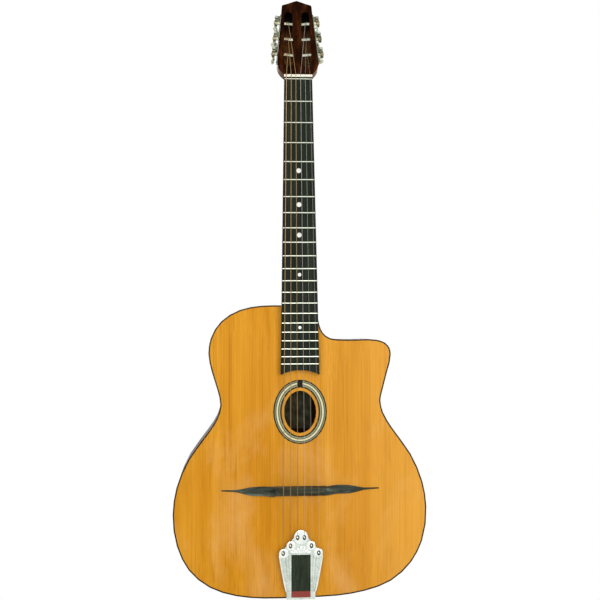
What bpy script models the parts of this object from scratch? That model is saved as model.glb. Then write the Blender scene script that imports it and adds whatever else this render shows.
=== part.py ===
# Acoustic gypsy jazz guitar with an oval sound hole, a cutaway and open worm-and-gear tuners.
# It hangs upright from its headstock: +Z up the neck, soundboard facing -Y, bass side at -X.
# All sizes are in metres.  The body frame has z = 0 at the tail, y = 0 on the plane of the
# soundboard's edge and x = 0 on the centre line.  The whole guitar hangs from one empty,
# which puts the world's origin where a wall hanger's yoke holds the neck.

import bpy
import bmesh
import math
import numpy as np
from mathutils import Matrix, Vector

# Overall layout
HANGER_Y = 0.015
HANGER_Z = 0.862
GAP = 0.0003
BRACE_GAP = 0.0006
BRACE_STATIONS = 13

# String length, neck and headstock
SCALE_LENGTH = 0.670
ZERO_FRET_Z = 0.8514
BRIDGE_Z = 0.1779
FRET_COUNT = 21
NECK_TILT = math.radians(2.0)
NECK_FACE_Y = 0.0047
BOARD_HALF_NUT = 0.02325
BOARD_HALF_END = 0.0317
BOARD_THICK = 0.006
BOARD_TOP_END = 0.003
BOARD_END_CORNER = -0.4884
BOARD_END_CENTRE = -0.4810
BOARD_RISER_THICK = 0.010
FRET_RADIUS = 0.0011
FRET_SUNK = 0.00017
DOT_FRETS = {5: 0.0040, 7: 0.0040, 9: 0.0040, 12: 0.0030, 17: 0.0026}
DOT_THICK = 0.0014

HEAD_TILT = math.radians(15.0)
HEAD_Y = 0.0066
HEAD_Z = 0.857
HEAD_START = 0.0030
HEAD_THICK = 0.019
VENEER_THICK = 0.0012
SLOT_FLOOR_DEPTH = 0.0155

NUT_Z0 = 0.8547
NUT_Z1 = 0.8586
NUT_HALF = 0.0232
NUT_TOP_Y = 0.0024

# Body: the rim's knots as (distance from the centre line, height above the tail)
TAIL_KNOT = (0.0, 0.0)
BASS_KNOTS = [(0.060, -0.0007), (0.105, 0.0040), (0.148, 0.0185), (0.182, 0.0470), (0.201, 0.0860),
              (0.2078, 0.1370), (0.2015, 0.1810), (0.182, 0.2268), (0.1515, 0.2685), (0.136, 0.2925),
              (0.1301, 0.3145), (0.1346, 0.3385), (0.1437, 0.3680), (0.1493, 0.3980),
              (0.1455, 0.4230), (0.1285, 0.4505), (0.098, 0.4693), (0.062, 0.4762), (0.030, 0.4767)]
TREBLE_KNOTS = [(0.060, 0.0018), (0.105, 0.0088), (0.148, 0.0243), (0.182, 0.0545), (0.200, 0.0885),
                (0.2077, 0.1450), (0.2015, 0.1860), (0.182, 0.2320), (0.1515, 0.2750), (0.137, 0.3000),
                (0.1327, 0.3200), (0.1362, 0.3365), (0.1445, 0.3680), (0.1505, 0.3960)]
CUTAWAY_KNOTS = [(0.1484, 0.4060), (0.1410, 0.4146), (0.1270, 0.4195), (0.095, 0.4202), (0.066, 0.4205),
                 (0.050, 0.4226), (0.0385, 0.4310), (0.0325, 0.4450), (0.0300, 0.4600), (0.0294, 0.4767)]
RIM_STEPS = 2
BODY_TOP_Z = 0.4767
TAIL_DEPTH = 0.095
HEEL_DEPTH = 0.088
RIB_THICK = 0.0022
BINDING_WIDTH = 0.0020
BINDING_DEPTH = 0.0055
LINING_WIDTH = 0.006
LINING_DEPTH = 0.012
PLATE_THICK = 0.003
PLATE_HALF = 0.212
TOP_ARCH = 0.006
BACK_ARCH = 0.009
ARCH_REACH = 0.150
PLATE_CELL = 0.034

HOLE_Z = 0.3025
HOLE_HALF_X = 0.0264
HOLE_HALF_Z = 0.0346
ROSETTE_INNER = (0.0305, 0.0397)
ROSETTE_OUTER = (0.0438, 0.0523)
ROSETTE_DEPTH = 0.0010

# Bridge and tailpiece
BRIDGE_HALF = 0.0415
BRIDGE_CREST_Y = -0.0237
MOUSTACHE_TIP = 0.1285
TAILPIECE_TOP = 0.1110
TAILPIECE_FRONT_TOP = -0.0140
TAILPIECE_FRONT_TAIL = -0.0040
TAILPIECE_TAIL_Z = -0.0027
TAILPIECE_THICK = 0.0015
WINDOW_HALF = 0.0157
WINDOW_TOP = 0.0714
WINDOW_BOTTOM = 0.0010
FELT_TOP = 0.0112
FOOT_REACH = 0.030
STUD_RADIUS = 0.0012
STUD_HEIGHT = 0.0030

# Strings, bass to treble
STRING_RADII = [0.00058, 0.00048, 0.00039, 0.00030, 0.00020, 0.00016]
NUT_SPACING = 0.0078
BRIDGE_SPACING = 0.01142
ANCHORS = [(-0.0289, 0.0747), (-0.0170, 0.0867), (-0.0055, 0.1002),
           (0.0055, 0.1002), (0.0170, 0.0867), (0.0289, 0.0747)]
WINDING_TURNS = 3
WINDING_POINTS = 10

# Tuning machines
TUNER_PITCH = 0.0291
TUNER_MID_U = 0.0714
SIDE_LOW = (0.0344, 0.025)
SIDE_HIGH = (0.0249, 0.130)
ROLLER_DEPTH = 0.0058
ROLLER_RADIUS = 0.0030
ROLLER_SPINDLE = 0.0020
ROLLER_INNER_X = 0.0030
PLATE_DEPTH = 0.0074
PLATE_T = 0.0012
GEAR_TEETH = 14
GEAR_PITCH_RADIUS = 0.0056
GEAR_ADDENDUM = 0.00072
GEAR_DEDENDUM = 0.00095
GEAR_NEAR = 0.0050
GEAR_WIDTH = 0.0052
WORM_PITCH_RADIUS = 0.0024
WORM_CREST_RADIUS = 0.00310
WORM_ROOT_RADIUS = 0.00145
WORM_LENGTH = 0.0062
WORM_PITCH = 2 * math.pi * GEAR_PITCH_RADIUS / GEAR_TEETH
CENTRE_DISTANCE = GEAR_PITCH_RADIUS + WORM_PITCH_RADIUS
WORM_OUT = GEAR_NEAR + GEAR_WIDTH / 2
LUG_RADIUS = 0.0028
BUTTON_DEPTH = 0.0420
BUTTON_SIZE = (0.0150, 0.0170, 0.0080)
BUTTON_TURNS = [20, 75, 130, 60, 10, 100]

FRONT_BACK = Matrix.Rotation(math.radians(90), 4, "X")
SIDEWAYS = Matrix(((0, 0, 1, 0), (1, 0, 0, 0), (0, 1, 0, 0), (0, 0, 0, 1)))


# Scene, materials and object helpers

def start_scene():
    for old in list(bpy.data.objects):
        bpy.data.objects.remove(old, do_unlink=True)
    parts = bpy.data.collections.new("gypsy_jazz_guitar")
    cutters = bpy.data.collections.new("cutters")
    bpy.context.scene.collection.children.link(parts)
    bpy.context.scene.collection.children.link(cutters)
    return parts, cutters


def make_material(name, colour, roughness, metallic=0.0):
    material = bpy.data.materials.new(name)
    material.use_nodes = True
    shader = material.node_tree.nodes["Principled BSDF"]
    shader.inputs["Base Color"].default_value = (*colour, 1.0)
    shader.inputs["Roughness"].default_value = roughness
    shader.inputs["Metallic"].default_value = metallic
    material.diffuse_color = (*colour, 1.0)
    return material


PARTS, CUTTERS = start_scene()
SPRUCE = make_material("aged_spruce", (0.72, 0.38, 0.09), 0.35)
ROSEWOOD = make_material("rosewood", (0.12, 0.035, 0.02), 0.35)
WALNUT = make_material("walnut", (0.16, 0.06, 0.03), 0.4)
PLAIN_WOOD = make_material("inner_wood", (0.62, 0.42, 0.22), 0.7)
EBONY = make_material("ebony", (0.05, 0.055, 0.05), 0.45)
BINDING = make_material("dark_binding", (0.05, 0.03, 0.02), 0.3)
ROSETTE_WOOD = make_material("rosette_inlay", (0.35, 0.30, 0.15), 0.4)
PEARL = make_material("pearl_dot", (0.85, 0.84, 0.78), 0.25)
BONE = make_material("bone_nut", (0.85, 0.80, 0.68), 0.4)
NICKEL = make_material("aged_nickel", (0.70, 0.71, 0.66), 0.28, 1.0)
GEAR_BRASS = make_material("gear_brass", (0.45, 0.42, 0.25), 0.35, 1.0)
BRONZE = make_material("string_bronze", (0.70, 0.60, 0.45), 0.3, 1.0)
FELT = make_material("red_felt", (0.45, 0.06, 0.04), 0.9)


def add_empty(name, parent=None, location=(0, 0, 0), rotation=(0, 0, 0)):
    frame = bpy.data.objects.new(name, None)
    frame.empty_display_size = 0.02
    PARTS.objects.link(frame)
    frame.parent = parent
    frame.location = location
    frame.rotation_euler = rotation
    return frame


GUITAR = add_empty("guitar_frame", None, (0, -HANGER_Y, -HANGER_Z))
NECK = add_empty("neck_frame", GUITAR, (0, NECK_FACE_Y, ZERO_FRET_Z), (-NECK_TILT, 0, 0))
HEAD = add_empty("headstock_frame", GUITAR, (0, HEAD_Y, HEAD_Z), (-HEAD_TILT, 0, 0))


def add_object(name, mesh, material=None, parent=GUITAR, location=(0, 0, 0), rotation=(0, 0, 0)):
    """Link a mesh as a part, or as a cutter when it has no material."""
    piece = bpy.data.objects.new(name, mesh)
    if material is None:
        CUTTERS.objects.link(piece)
        piece.hide_render = True
        piece.display_type = "WIRE"
    else:
        PARTS.objects.link(piece)
        mesh.materials.append(material)
        mesh.shade_smooth()
        mesh.set_sharp_from_angle(angle=math.radians(32))
    piece.parent = parent
    piece.location = location
    piece.rotation_euler = rotation
    return piece


def mesh_from(bm, name):
    bmesh.ops.recalc_face_normals(bm, faces=bm.faces)
    mesh = bpy.data.meshes.new(name)
    bm.to_mesh(mesh)
    bm.free()
    return mesh


def box_mesh(name, low, high):
    low, high = Vector(low), Vector(high)
    bm = bmesh.new()
    bmesh.ops.create_cube(bm, size=1.0)
    bmesh.ops.scale(bm, vec=high - low, verts=bm.verts)
    bmesh.ops.translate(bm, vec=(low + high) / 2, verts=bm.verts)
    return mesh_from(bm, name)


def rods_mesh(name, rods, sides):
    """Closed cylinders, each (start, end, radius), that don't touch one another."""
    bm = bmesh.new()
    for start, end, radius in rods:
        start, end = Vector(start), Vector(end)
        turn = (end - start).to_track_quat("Z", "Y").to_matrix().to_4x4()
        place = Matrix.Translation((start + end) / 2) @ turn
        bmesh.ops.create_cone(bm, cap_ends=True, segments=sides, radius1=radius, radius2=radius,
                              depth=(end - start).length, matrix=place)
    return mesh_from(bm, name)


def mesh_from_curve(name, curve, turn=None):
    """Take a curve's closed mesh, weld its caps and remove the curve."""
    holder = bpy.data.objects.new(name + "_curve", curve)
    CUTTERS.objects.link(holder)
    bpy.context.view_layer.update()
    evaluated = holder.evaluated_get(bpy.context.evaluated_depsgraph_get())
    mesh = bpy.data.meshes.new_from_object(evaluated)
    mesh.name = name
    bm = bmesh.new()
    bm.from_mesh(mesh)
    bmesh.ops.remove_doubles(bm, verts=bm.verts, dist=1e-6)
    bmesh.ops.recalc_face_normals(bm, faces=bm.faces)
    bm.to_mesh(mesh)
    bm.free()
    if turn is not None:
        mesh.transform(turn)
    bpy.data.objects.remove(holder, do_unlink=True)
    bpy.data.curves.remove(curve)
    return mesh


def flat_mesh(name, outlines, near, far, turn=FRONT_BACK):
    """Extrude flat outlines; a second outline is a hole.  FRONT_BACK takes (x, z) outlines
    and near and far in y; SIDEWAYS takes (y, z) outlines and near and far in x."""
    middle = (near + far) / 2
    shift = Vector((0, middle, 0)) if turn is FRONT_BACK else Vector((middle, 0, 0))
    place = Matrix.Translation(shift) @ turn
    if len(outlines) == 1:
        half = abs(far - near) / 2
        return loft_mesh(name, [[place @ Vector((a, b, level)) for a, b in outlines[0]] for level in (-half, half)])
    curve = bpy.data.curves.new(name, "CURVE")
    curve.dimensions = "2D"
    curve.fill_mode = "BOTH"
    curve.extrude = abs(far - near) / 2
    for outline in outlines:
        spline = curve.splines.new("POLY")
        spline.points.add(len(outline) - 1)
        for point, (a, b) in zip(spline.points, outline):
            point.co = (a, b, 0, 1)
        spline.use_cyclic_u = True
    return mesh_from_curve(name, curve, place)


def tube_mesh(name, points, radius, resolution):
    curve = bpy.data.curves.new(name, "CURVE")
    curve.dimensions = "3D"
    curve.bevel_depth = radius
    curve.bevel_resolution = resolution
    curve.use_fill_caps = True
    spline = curve.splines.new("POLY")
    spline.points.add(len(points) - 1)
    for point, place in zip(spline.points, points):
        point.co = (*place, 1)
    return mesh_from_curve(name, curve)


def loft_mesh(name, rings):
    """Skin rings of equal counts and close both ends."""
    bm = bmesh.new()
    rows = [[bm.verts.new(point) for point in ring] for ring in rings]
    for low, high in zip(rows, rows[1:]):
        for i in range(len(low)):
            j = (i + 1) % len(low)
            bm.faces.new((low[i], low[j], high[j], high[i]))
    bm.faces.new(rows[0])
    bm.faces.new(rows[-1])
    return mesh_from(bm, name)


def turned(name, profile, steps, material, parent, location, rotation=(0, 0, 0)):
    """Turn a profile of (radius, z), given from its top to its bottom, about local z."""
    mesh = bpy.data.meshes.new(name)
    edges = [(i, i + 1) for i in range(len(profile) - 1)]
    mesh.from_pydata([(radius, 0, z) for radius, z in profile], edges, [])
    piece = add_object(name, mesh, material, parent, location, rotation)
    screw = piece.modifiers.new("Turn", "SCREW")
    screw.axis = "Z"
    screw.steps = steps
    screw.render_steps = steps
    screw.use_merge_vertices = True
    screw.merge_threshold = 1e-5
    screw.use_smooth_shade = True
    return piece


def combine(piece, tool, operation):
    modifier = piece.modifiers.new(operation.title() + " " + tool.name, "BOOLEAN")
    modifier.operation = operation
    modifier.object = tool
    modifier.solver = "EXACT"


def solidify(piece, thickness):
    modifier = piece.modifiers.new("Thickness", "SOLIDIFY")
    modifier.thickness = thickness
    modifier.offset = -1
    modifier.use_even_offset = True


def bevel(piece, width, segments=2):
    modifier = piece.modifiers.new("Edges", "BEVEL")
    modifier.width = width
    modifier.segments = segments
    modifier.limit_method = "ANGLE"
    modifier.angle_limit = math.radians(40)


# Curves and heights that the parts share

def smooth_path(knots, steps):
    """Pass a smooth curve through the knots, with tangents weighted by the knots' spacing."""
    knots = np.array(knots, float)
    lengths = np.linalg.norm(np.diff(knots, axis=0), axis=1)
    slopes = np.diff(knots, axis=0) / lengths[:, None]
    tangents = np.vstack([slopes[:1], slopes[-1:]])
    before, after = lengths[:-1, None], lengths[1:, None]
    tangents = np.insert(tangents, 1, (slopes[:-1] * after + slopes[1:] * before) / (before + after), axis=0)
    points = []
    for i, length in enumerate(lengths):
        for t in np.arange(steps) / steps:
            hold, ease = 2 * t**3 - 3 * t**2 + 1, t**3 - 2 * t**2 + t
            reach, settle = 3 * t**2 - 2 * t**3, t**3 - t**2
            points.append(knots[i] * hold + tangents[i] * length * ease
                          + knots[i + 1] * reach + tangents[i + 1] * length * settle)
    points.append(knots[-1])
    return np.array(points)


def inward_normals(path):
    direction = np.gradient(path, axis=0)
    direction /= np.linalg.norm(direction, axis=1)[:, None]
    return np.column_stack([-direction[:, 1], direction[:, 0]])


def mirrored(knots):
    return [(-x, z) for x, z in knots]


RIM = smooth_path(mirrored(BASS_KNOTS)[::-1] + [TAIL_KNOT] + TREBLE_KNOTS + CUTAWAY_KNOTS, RIM_STEPS)
RIM_IN = inward_normals(RIM)
RIM_TAIL = len(BASS_KNOTS) * RIM_STEPS


def rim_offset(distance):
    """The rim's outline moved inwards, with square corners where the neck meets the body."""
    outline = RIM + RIM_IN * distance
    outline[0, 0] += GAP
    outline[-1, 1] = BODY_TOP_Z
    return np.vstack([[outline[0, 0], BODY_TOP_Z], outline])


def rim_distance(x, z):
    """Distance of a point from the rim, negative outside it."""
    ring = np.vstack([RIM, RIM[:1]])
    start, edge = ring[:-1], np.diff(ring, axis=0)
    point = np.array([x, z])
    along = ((point - start) * edge).sum(1) / np.maximum((edge * edge).sum(1), 1e-12)
    nearest = start + edge * np.clip(along, 0, 1)[:, None]
    distance = np.linalg.norm(nearest - point, axis=1).min()
    crosses = (ring[:-1, 1] > z) != (ring[1:, 1] > z)
    where = start[:, 0] + edge[:, 0] * (z - start[:, 1]) / np.where(crosses, edge[:, 1], 1)
    inside = np.count_nonzero(crosses & (where > x)) % 2 == 1
    return distance if inside else -distance


def arch(x, z):
    """How far the plates swell at a point, from 0 at the rim to 1 in the middle."""
    return math.sin(math.pi / 2 * min(max(rim_distance(x, z) / ARCH_REACH, -0.3), 1.0))


def rim_depth(z):
    return TAIL_DEPTH + (HEEL_DEPTH - TAIL_DEPTH) * z / BODY_TOP_Z


def top_y(x, z):
    return -TOP_ARCH * arch(x, z)


def back_y(x, z):
    return rim_depth(z) + BACK_ARCH * arch(x, z)


def half_width(z):
    """The body's half width below the upper bout, the lesser of its two sides."""
    widths = []
    for knots in (BASS_KNOTS[:14], TREBLE_KNOTS):
        side = smooth_path([TAIL_KNOT] + knots, RIM_STEPS)
        widths.append(np.interp(z, side[:, 1], side[:, 0]))
    return min(widths)


def board_y(z):
    """The neck's string-side plane at a height in the body frame."""
    return NECK_FACE_Y - (ZERO_FRET_Z - z) * math.tan(NECK_TILT)


def board_half(neck_z):
    return BOARD_HALF_NUT + (BOARD_HALF_END - BOARD_HALF_NUT) * neck_z / BOARD_END_CORNER


def fret_z(number):
    return -SCALE_LENGTH * (1 - 2 ** (-number / 12))


def ellipse(half_x, half_z, centre_z, count):
    return [(half_x * math.cos(a), centre_z + half_z * math.sin(a))
            for a in np.linspace(0, 2 * math.pi, count, endpoint=False)]


def arc(centre, radius, start, end, count):
    """Points on an arc, with its angles in degrees."""
    return [(centre[0] + radius * math.cos(a), centre[1] + radius * math.sin(a))
            for a in np.radians(np.linspace(start, end, count))]


# Body shell

def arched_sheet(name, height, flip, material):
    """A grid over the body's plan, raised to a height function of x and z."""
    columns = math.ceil(PLATE_HALF / PLATE_CELL) * 2 + 1
    rows = math.ceil((BODY_TOP_Z + 0.012) / PLATE_CELL)
    bm = bmesh.new()
    bmesh.ops.create_grid(bm, x_segments=columns, y_segments=rows, size=1.0)
    for vertex in bm.verts:
        x = vertex.co.x * PLATE_HALF
        z = BODY_TOP_Z / 2 + vertex.co.y * (BODY_TOP_Z / 2 + 0.006)
        vertex.co = (x, height(x, z), z)
    if flip:
        bmesh.ops.reverse_faces(bm, faces=bm.faces)
    mesh = bpy.data.meshes.new(name)
    bm.to_mesh(mesh)
    bm.free()
    return add_object(name, mesh, material)


def make_plates():
    plan = rim_offset(BINDING_WIDTH + GAP)
    plan_cutter = add_object("plan_cutter", flat_mesh("plan_cutter", [plan], -0.04, 0.14))

    soundboard = arched_sheet("soundboard", top_y, False, SPRUCE)
    solidify(soundboard, PLATE_THICK)
    combine(soundboard, plan_cutter, "INTERSECT")

    back = arched_sheet("back", back_y, True, ROSEWOOD)
    solidify(back, PLATE_THICK)
    combine(back, plan_cutter, "INTERSECT")

    hole = [ellipse(HOLE_HALF_X, HOLE_HALF_Z, HOLE_Z, 24)]
    combine(soundboard, add_object("hole_cutter", flat_mesh("hole_cutter", hole, -0.04, 0.03)), "DIFFERENCE")

    ring = [ellipse(ROSETTE_OUTER[0], ROSETTE_OUTER[1], HOLE_Z, 28),
            ellipse(ROSETTE_INNER[0], ROSETTE_INNER[1], HOLE_Z, 28)]
    channel = [ellipse(ROSETTE_OUTER[0] + GAP, ROSETTE_OUTER[1] + GAP, HOLE_Z, 28),
               ellipse(ROSETTE_INNER[0] - GAP, ROSETTE_INNER[1] - GAP, HOLE_Z, 28)]
    rosette = arched_sheet("rosette", top_y, False, ROSETTE_WOOD)
    solidify(rosette, ROSETTE_DEPTH)
    combine(rosette, add_object("ring_cutter", flat_mesh("ring_cutter", ring, -0.04, 0.03)), "INTERSECT")
    channel_floor = arched_sheet("rosette_channel", lambda x, z: top_y(x, z) - 0.002, False, None)
    solidify(channel_floor, 0.002 + ROSETTE_DEPTH + GAP)
    combine(channel_floor, add_object("channel_ring", flat_mesh("channel_ring", channel, -0.04, 0.03)), "INTERSECT")
    combine(soundboard, channel_floor, "DIFFERENCE")


def rim_strip(name, first, last, outset, thickness, front, back, material):
    """A strip that follows the rim between two of its points, thickened inwards."""
    line = (RIM + RIM_IN * outset)[first:last]
    bm = bmesh.new()
    rows = [(bm.verts.new((x, front(z), z)), bm.verts.new((x, back(z), z))) for x, z in line]
    for here, after in zip(rows, rows[1:]):
        bm.faces.new((here[0], here[1], after[1], after[0]))
    mesh = bpy.data.meshes.new(name)
    bm.to_mesh(mesh)
    bm.free()
    strip = add_object(name, mesh, material)
    solidify(strip, thickness)
    return strip


def make_rim():
    end = len(RIM)
    edge = BINDING_DEPTH + GAP
    ribs = []
    for name, first, last in (("rib_bass", 0, RIM_TAIL + 1), ("rib_treble", RIM_TAIL, end)):
        ribs.append(rim_strip(name, first, last, 0, RIB_THICK, lambda z: edge,
                              lambda z: rim_depth(z) - edge, ROSEWOOD))
    seam = box_mesh("rib_seam", (-GAP / 2, -0.01, -0.01), (GAP / 2, 0.12, 0.02))
    seam_cutter = add_object("rib_seam", seam)
    for rib in ribs:
        combine(rib, seam_cutter, "DIFFERENCE")
    rim_strip("binding_front", 0, end, 0, BINDING_WIDTH, lambda z: 0.0, lambda z: BINDING_DEPTH, BINDING)
    rim_strip("binding_back", 0, end, 0, BINDING_WIDTH, lambda z: rim_depth(z) - BINDING_DEPTH,
              rim_depth, BINDING)
    lining_first = 2 * RIM_STEPS
    lining_last = end - 4 * RIM_STEPS
    inner = RIB_THICK + GAP
    skin = PLATE_THICK + GAP
    rim_strip("lining_front", lining_first, lining_last, inner, LINING_WIDTH,
              lambda z: skin, lambda z: skin + LINING_DEPTH, PLAIN_WOOD)
    rim_strip("lining_back", lining_first, lining_last, inner, LINING_WIDTH,
              lambda z: rim_depth(z) - skin - LINING_DEPTH, lambda z: rim_depth(z) - skin, PLAIN_WOOD)
    return ribs


def make_blocks():
    near = RIB_THICK + 2 * GAP + 0.0005
    past_lining = near + LINING_WIDTH + GAP
    deep = 0.027
    front, back = PLATE_THICK + GAP, rim_depth(0.03) - PLATE_THICK - 2 * GAP
    shelf = LINING_DEPTH + 2 * GAP
    profile = [(front, past_lining), (front + shelf, past_lining), (front + shelf, near),
               (back - shelf, near), (back - shelf, past_lining), (back, past_lining), (back, deep), (front, deep)]
    tail = add_object("tail_block", flat_mesh("tail_block", [profile], -0.045, 0.045, SIDEWAYS), PLAIN_WOOD)
    heel_back = rim_depth(BODY_TOP_Z) - PLATE_THICK - 2 * BRACE_GAP
    neck_block = box_mesh("neck_block", (-0.0295, front + GAP, 0.430), (0.026, heel_back, 0.4750))
    add_object("neck_block", neck_block, PLAIN_WOOD)
    return tail


def make_brace(name, z, surface, inward, depth):
    """A bar across a plate: its glued edge follows the plate and its ends are scooped."""
    half = min(half_width(z - 0.004), half_width(z + 0.004)) - RIB_THICK - LINING_WIDTH - 0.006
    rings = []
    for t in np.linspace(-1, 1, BRACE_STATIONS):
        x = t * half
        glued = surface(x, z) + inward * (PLATE_THICK + BRACE_GAP)
        free = glued + inward * depth * (0.35 + 0.65 * math.sqrt(max(0.0, 1 - t**2)))
        rings.append([(x, glued, z - 0.004), (x, glued, z + 0.004), (x, free, z + 0.0025), (x, free, z - 0.0025)])
    add_object(name, loft_mesh(name, rings), PLAIN_WOOD)


def make_braces():
    for number, z in enumerate((0.376, 0.240, 0.2065, 0.112), 1):
        make_brace(f"top_brace_{number}", z, top_y, 1, 0.016)
    for number, z in enumerate((0.376, 0.240, 0.112), 1):
        make_brace(f"back_brace_{number}", z, back_y, -1, 0.014)


# Neck, fretboard and headstock

def head_half(u):
    """Half width of the headstock's straight side at a distance up the headstock."""
    (low_x, low_u), (high_x, high_u) = SIDE_LOW, SIDE_HIGH
    return low_x + (high_x - low_x) * (u - low_u) / (high_u - low_u)


SIDE_LEAN = math.atan2(SIDE_LOW[0] - SIDE_HIGH[0], SIDE_HIGH[1] - SIDE_LOW[1])


def head_outline(start):
    """The headstock's plan: flared above the nut, tapered, with a hollow-sided peak."""
    flare = [(0.0236, start), (0.0262, 0.0055), (0.0302, 0.0103), (0.0333, 0.0165), (0.0345, 0.0240)]
    peak = [(0.0262, 0.1160), (0.0252, 0.1295), (0.0240, 0.1322), (0.0150, 0.1350), (0.0060, 0.1386)]
    right = list(map(tuple, smooth_path(flare, 2))) + peak
    return right + [(0.0, 0.1405)] + mirrored(right)[::-1]


def slot_outline(side):
    """One string slot: a tapered opening with round ends."""
    low, low_radius = (side * 0.0153, 0.0254), 0.0078
    high, high_radius = (side * 0.0141, 0.1128), 0.0067
    return arc(high, high_radius, 0, 180, 7) + arc(low, low_radius, 180, 360, 7)


def neck_section(half, depth, top, z):
    """A half-round neck section: flat under the fretboard, rounded behind."""
    return [(half * math.cos(a), top + depth * math.sin(a), z) for a in np.linspace(0, math.pi, 13)]


def make_neck():
    under = BOARD_THICK + GAP
    heel_z = BODY_TOP_Z + GAP
    heel_end = rim_depth(BODY_TOP_Z)
    stations = [(0.8660, 0.0152), (0.8450, 0.0150), (0.7000, 0.0168), (0.5400, 0.0188), (0.5130, 0.0200),
                (0.4975, 0.0270), (0.4890, 0.0400), (0.4830, 0.0600), (heel_z, None)]
    rings = []
    for z, depth in stations:
        top = board_y(min(z, 0.8560)) + under
        half = board_half(min(z - ZERO_FRET_Z, 0.0))
        rings.append(neck_section(half, depth or heel_end - top, top, z))
    neck = add_object("neck", loft_mesh("neck", rings), WALNUT)

    slab_top = VENEER_THICK + GAP
    slab = flat_mesh("headstock_slab", [head_outline(HEAD_START)], slab_top, HEAD_THICK)
    combine(neck, add_object("headstock_slab", slab, None, HEAD), "UNION")

    veneer = flat_mesh("headstock_veneer", [head_outline(HEAD_START), slot_outline(1), slot_outline(-1)],
                       0.0, VENEER_THICK)
    add_object("headstock_veneer", veneer, ROSEWOOD, HEAD)
    for side, label in ((-1, "bass"), (1, "treble")):
        slot = flat_mesh("slot_" + label, [slot_outline(side)], -0.01, SLOT_FLOOR_DEPTH)
        combine(neck, add_object("slot_" + label, slot, None, HEAD), "DIFFERENCE")
    return neck


def make_fretboard():
    half_top, half_end = board_half(BOARD_TOP_END), board_half(BOARD_END_CORNER)
    rise = BOARD_END_CENTRE - BOARD_END_CORNER
    radius = (half_end**2 + rise**2) / (2 * rise)
    spread = math.degrees(math.asin(half_end / radius))
    end_arc = arc((0.0, BOARD_END_CENTRE - radius), radius, 90 + spread, 90 - spread, 9)
    plan = [(-half_top, BOARD_TOP_END)] + end_arc + [(half_top, BOARD_TOP_END)]
    board = add_object("fretboard", flat_mesh("fretboard", [plan], 0.0, BOARD_THICK), EBONY, NECK)

    joint = BODY_TOP_Z - ZERO_FRET_Z - 0.004
    riser_plan = [(-board_half(joint) + GAP, joint)] + end_arc + [(board_half(joint) - GAP, joint)]
    riser_plan = [(x * 0.985, z + 0.0004) for x, z in riser_plan]
    riser = flat_mesh("board_riser", [riser_plan], 0.003, BOARD_RISER_THICK)
    combine(board, add_object("board_riser", riser, None, NECK), "UNION")
    envelope = arched_sheet("soundboard_envelope", lambda x, z: top_y(x, z) - BRACE_GAP, False, None)
    solidify(envelope, 0.015)
    combine(board, envelope, "DIFFERENCE")

    rods = []
    for number in range(FRET_COUNT + 1):
        z = fret_z(number)
        half = board_half(z) - GAP
        rods.append(((-half, FRET_SUNK, z), (half, FRET_SUNK, z), FRET_RADIUS))
    combine(board, add_object("fret_wires", rods_mesh("fret_wires", rods, 6), None, NECK), "UNION")

    pockets = []
    for number, dot_radius in DOT_FRETS.items():
        z = (fret_z(number) + fret_z(number - 1)) / 2
        pockets.append(((0, -0.001, z), (0, DOT_THICK + GAP, z), dot_radius + GAP))
        dot = rods_mesh(f"dot_{number}", [((0, 0, z), (0, DOT_THICK, z), dot_radius)], 12)
        add_object(f"dot_{number}", dot, PEARL, NECK)
    combine(board, add_object("dot_pockets", rods_mesh("dot_pockets", pockets, 12), None, NECK), "DIFFERENCE")


def string_offset(spacing, index):
    return (index - 2.5) * spacing


def string_over_fret(index):
    """A string's centre on the zero fret, in the body frame."""
    radius = STRING_RADII[index]
    return (string_offset(NUT_SPACING, index), NECK_FACE_Y + FRET_SUNK - FRET_RADIUS - GAP - radius, ZERO_FRET_Z)


def string_at_nut(index):
    x, y, z = string_over_fret(index)
    return (x * 1.003, y + 0.0001, NUT_Z1 + 0.0002)


def string_over_bridge(index):
    return (string_offset(BRIDGE_SPACING, index), BRIDGE_CREST_Y, BRIDGE_Z)


def make_nut():
    under = board_y(NUT_Z0) + BOARD_THICK
    nut = add_object("nut", box_mesh("nut", (-NUT_HALF, NUT_TOP_Y, NUT_Z0), (NUT_HALF, under, NUT_Z1)), BONE)
    slots = []
    for index, radius in enumerate(STRING_RADII):
        x, y, z = string_at_nut(index)
        slots.append(((x, y, NUT_Z0 - 0.001), (x, y, NUT_Z1 + 0.001), radius + GAP))
    combine(nut, add_object("nut_slots", rods_mesh("nut_slots", slots, 8)), "DIFFERENCE")
    clearance = box_mesh("nut_slot_mouths", (-0.021, NUT_TOP_Y - 0.002, NUT_Z0 - 0.001),
                         (0.021, NUT_TOP_Y + 0.0006, NUT_Z1 + 0.001))
    combine(nut, add_object("nut_slot_mouths", clearance), "DIFFERENCE")


# Bridge

def bridge_section(x):
    """Centre bridge: broad feet, hollow sides and a narrow crest that falls at the ends."""
    foot = top_y(x, BRIDGE_Z) - GAP
    crest = BRIDGE_CREST_Y - 0.0003 + 0.0085 * abs(x / BRIDGE_HALF) ** 6
    height = foot - crest
    profile = [(-0.0066, 0.0), (0.0066, 0.0), (0.0064, 0.22), (0.0040, 0.50), (0.0020, 0.86), (0.0014, 1.0),
               (-0.0014, 1.0), (-0.0020, 0.86), (-0.0040, 0.50), (-0.0064, 0.22)]
    return [(x, foot - height * up, BRIDGE_Z + out) for out, up in profile]


def make_bridge():
    rings = [bridge_section(x) for x in np.linspace(-BRIDGE_HALF, BRIDGE_HALF, 9)]
    bridge = add_object("bridge", loft_mesh("bridge", rings), EBONY)
    notches = []
    for index, radius in enumerate(STRING_RADII):
        x, y, z = string_over_bridge(index)
        notches.append(((x, y, z - 0.004), (x, y, z + 0.004), radius + GAP))
    combine(bridge, add_object("bridge_notches", rods_mesh("bridge_notches", notches, 8)), "DIFFERENCE")


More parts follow.
